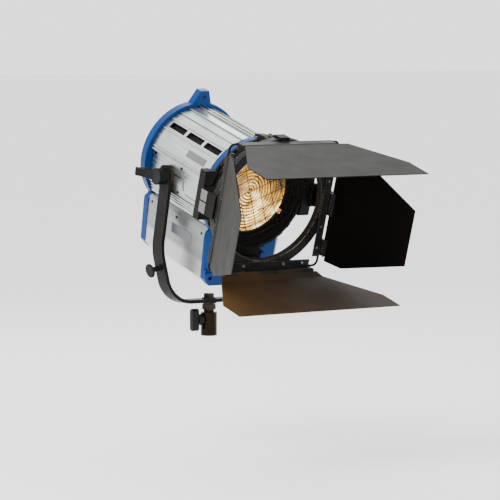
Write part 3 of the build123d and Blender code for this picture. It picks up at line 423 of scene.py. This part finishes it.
# ---- small visual pieces ---------------------------------------------------------
class Detail:
    """One mesh of small boxes and discs, given in head coordinates."""

    def __init__(self):
        self.mesh = bmesh.new()

    def box(self, centre, size, turn=0.0):
        """A box; turn is in degrees round the beam. Sizes run x, v, b."""
        out = ACROSS * math.cos(math.radians(turn)) + UP * math.sin(math.radians(turn))
        side = UP * math.cos(math.radians(turn)) - ACROSS * math.sin(math.radians(turn))
        axes = Matrix((out * size[0] / 1000, side * size[1] / 1000, FORWARD * size[2] / 1000))
        place = Matrix.Translation(at(*centre)) @ axes.transposed().to_4x4()
        bmesh.ops.create_cube(self.mesh, size=1.0, matrix=place)

    def disc(self, centre, axis, radius, height, sides=24):
        """A short cylinder that stands on centre along axis."""
        turn = axis.normalized().to_track_quat("Z", "Y").to_matrix().to_4x4()
        middle = at(*centre) + axis.normalized() * height / 2000
        bmesh.ops.create_cone(
            self.mesh, cap_ends=True, segments=sides, radius1=radius / 1000,
            radius2=radius * 0.86 / 1000, depth=height / 1000,
            matrix=Matrix.Translation(middle) @ turn,
        )

    def hoop(self, b, radius, width, height, sides=144):
        """A flat ring round the beam, its back face at b."""
        rims = []
        for reach, depth in ((radius, b), (radius + width, b), (radius + width, b + height),
                             (radius, b + height)):
            rims.append([
                self.mesh.verts.new(at(
                    reach * math.cos(2 * math.pi * k / sides),
                    reach * math.sin(2 * math.pi * k / sides), depth,
                ))
                for k in range(sides)
            ])
        for one, two in zip(rims, rims[1:] + rims[:1]):
            for k in range(sides):
                following = (k + 1) % sides
                self.mesh.faces.new((one[k], one[following], two[following], two[k]))

    def place(self, name, body, material, slot_name, bevel_mm=0.2):
        """Makes the object, gives it its material and fixes it to its body."""
        bmesh.ops.recalc_face_normals(self.mesh, faces=self.mesh.faces)
        mesh = bpy.data.meshes.new(name)
        self.mesh.to_mesh(mesh)
        self.mesh.free()
        mesh.materials.append(material)
        obj = bpy.data.objects.new(name, mesh)
        bpy.context.collection.objects.link(obj)
        if bevel_mm:
            bevel = obj.modifiers.new("bevel", "BEVEL")
            bevel.width = bevel_mm / 1000
            bevel.segments = 2
        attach(obj, body)


SIGNS = (-1, 1)      # both sides of the head
PAD_GREY = plain_sheet("pad grey", (0.13, 0.13, 0.125))
LABEL_GREY = plain_sheet("blank label", (0.12, 0.125, 0.13))
PAINTED_HIGHLIGHT_EDGE = steel("painted highlight edge", (0.32, 0.315, 0.30), 0.25)

BRACKET_FACE, PAD_B, PAD_SIZE = 118.4, 231, (1.6, 18.0, 17.0)
plates = Detail()
for sign in SIGNS:
    for v in (-10.4, 10.4):
        plates.box((sign * BRACKET_FACE, v, PAD_B), PAD_SIZE)
plates.place("bracket_pads", "lens_door", PAD_GREY, "black_steel")

TAB_X, TAB_B, TAB_SIZE = 95.0, 188.0, (7.0, 9.0, 8.0)
tabs = Detail()
for sign in SIGNS:
    for v in (24.0, -32.0):
        tabs.box((sign * TAB_X, v, TAB_B), TAB_SIZE)
tabs.place("front_frame_tabs", "head", MATERIALS["blue_casting"], "blue_casting", 0.6)

SHELL_R, SHELL_LABEL_RISE = 88.1, 27       # the upper label sits this many degrees above level
label_angle = math.radians(SHELL_LABEL_RISE)
labels = Detail()
labels.box(
    (-SHELL_R * math.cos(label_angle), SHELL_R * math.sin(label_angle), 136),
    (0.8, 12.0, 54.0), 180 - SHELL_LABEL_RISE,
)
labels.box((-72.3, -97.0, 122), (0.8, 17.0, 62.0), 184.6)
labels.place("blank_labels", "head", LABEL_GREY, "grey_housing", 0.1)

PANEL_FACE, BOX_FACE, SCREW_HEIGHT = 80.9, 72.9, 1.3
panel_screws = Detail()
for sign in SIGNS:
    for b, v in ((22, 10), (22, -30), (104, 11), (104, -31), (182, 12), (182, -32)):
        panel_screws.disc((sign * PANEL_FACE, v, b), ACROSS * sign, 2.4, SCREW_HEIGHT)
    for b in (24, 102, 180):
        panel_screws.disc((sign * BOX_FACE, -76, b), ACROSS * sign, 2.6, SCREW_HEIGHT)
panel_screws.place("panel_screws", "head", DARK_STEEL, "zinc_steel", 0)

RIVET_OUT, PLATE_FACE = 103.5, 265.2
rivets = Detail()
for angle in (0, 90, 180, 270):
    turn = math.radians(angle)
    for along in (-78, -40, 40, 78):
        x = RIVET_OUT * math.cos(turn) - along * math.sin(turn)
        v = RIVET_OUT * math.sin(turn) + along * math.cos(turn)
        rivets.disc((x, v, PLATE_FACE), FORWARD, 2.6, 1.2)
rivets.place("hinge_plate_rivets", "barn_door", MATERIALS["zinc_steel"], "zinc_steel", 0)

RING_FRONT, RING_BORE = 259.9, 97.6
# painted highlight: a thin bright hoop along the ring's bore, where it catches the light
highlight_hoop = Detail()
highlight_hoop.hoop(RING_FRONT, RING_BORE, 0.8, 0.4)
highlight_hoop.place("ring_highlight_hoop", "barn_door", PAINTED_HIGHLIGHT_EDGE, "ring_metal", 0)

# ---- floor, light and camera ---------------------------------------------------
FLOOR_HALF, FLOOR_Z = 40, -0.20
WORLD_STRENGTH = 2.0
EYE = Vector((-2.7227, -4.0102, 0.5097))
CAMERA_TURN = math.radians(-35)
RIGHT = Vector((math.cos(CAMERA_TURN), math.sin(CAMERA_TURN), 0))
BACK = Vector((-0.57199, -0.81685, 0.07498)).normalized()
LENS_MM = 206.5

floor_mesh = bpy.data.meshes.new("floor")
around = ((-1, -1), (1, -1), (1, 1), (-1, 1))
corners = [(x * FLOOR_HALF, y * FLOOR_HALF, FLOOR_Z) for x, y in around]
floor_mesh.from_pydata(corners, [], [(0, 1, 2, 3)])
floor = bpy.data.objects.new("floor", floor_mesh)
bpy.context.collection.objects.link(floor)
pale = bpy.data.materials.new("floor")
pale.use_nodes = True
pale_bsdf = pale.node_tree.nodes["Principled BSDF"]
pale_bsdf.inputs["Base Color"].default_value = (0.9, 0.9, 0.9, 1)
pale_bsdf.inputs["Roughness"].default_value = 0.9
floor_mesh.materials.append(pale)

world = bpy.data.worlds.new("studio")
bpy.context.scene.world = world
world.use_nodes = True
background = world.node_tree.nodes["Background"]
background.inputs["Color"].default_value = (1, 1, 1, 1)
background.inputs["Strength"].default_value = WORLD_STRENGTH


def area_light(name, place, size, power):
    """A soft rectangular light, in watts, aimed at the object."""
    data = bpy.data.lights.new(name, "AREA")
    data.shape = "RECTANGLE"
    data.size, data.size_y = size
    data.energy = power
    obj = bpy.data.objects.new(name, data)
    obj.location = place
    obj.rotation_euler = (CENTRE - Vector(place)).to_track_quat("-Z", "Y").to_euler()
    bpy.context.collection.objects.link(obj)


CENTRE = Vector((0, -0.08, 0.25))
area_light("key", (-1.6, -0.6, 1.9), (1.2, 1.2), 60)
area_light("fill", (1.8, -2.2, 0.9), (1.5, 1.5), 12)
area_light("rim", (0.6, 1.8, 1.6), (1.5, 0.8), 25)

camera_data = bpy.data.cameras.new("camera")
camera_data.lens = LENS_MM
camera_data.sensor_width = 36
camera = bpy.data.objects.new("camera", camera_data)
up_axis = BACK.cross(RIGHT)
camera.matrix_world = Matrix.Translation(EYE) @ Matrix((RIGHT, up_axis, BACK)).transposed().to_4x4()
bpy.context.collection.objects.link(camera)
bpy.context.scene.camera = camera
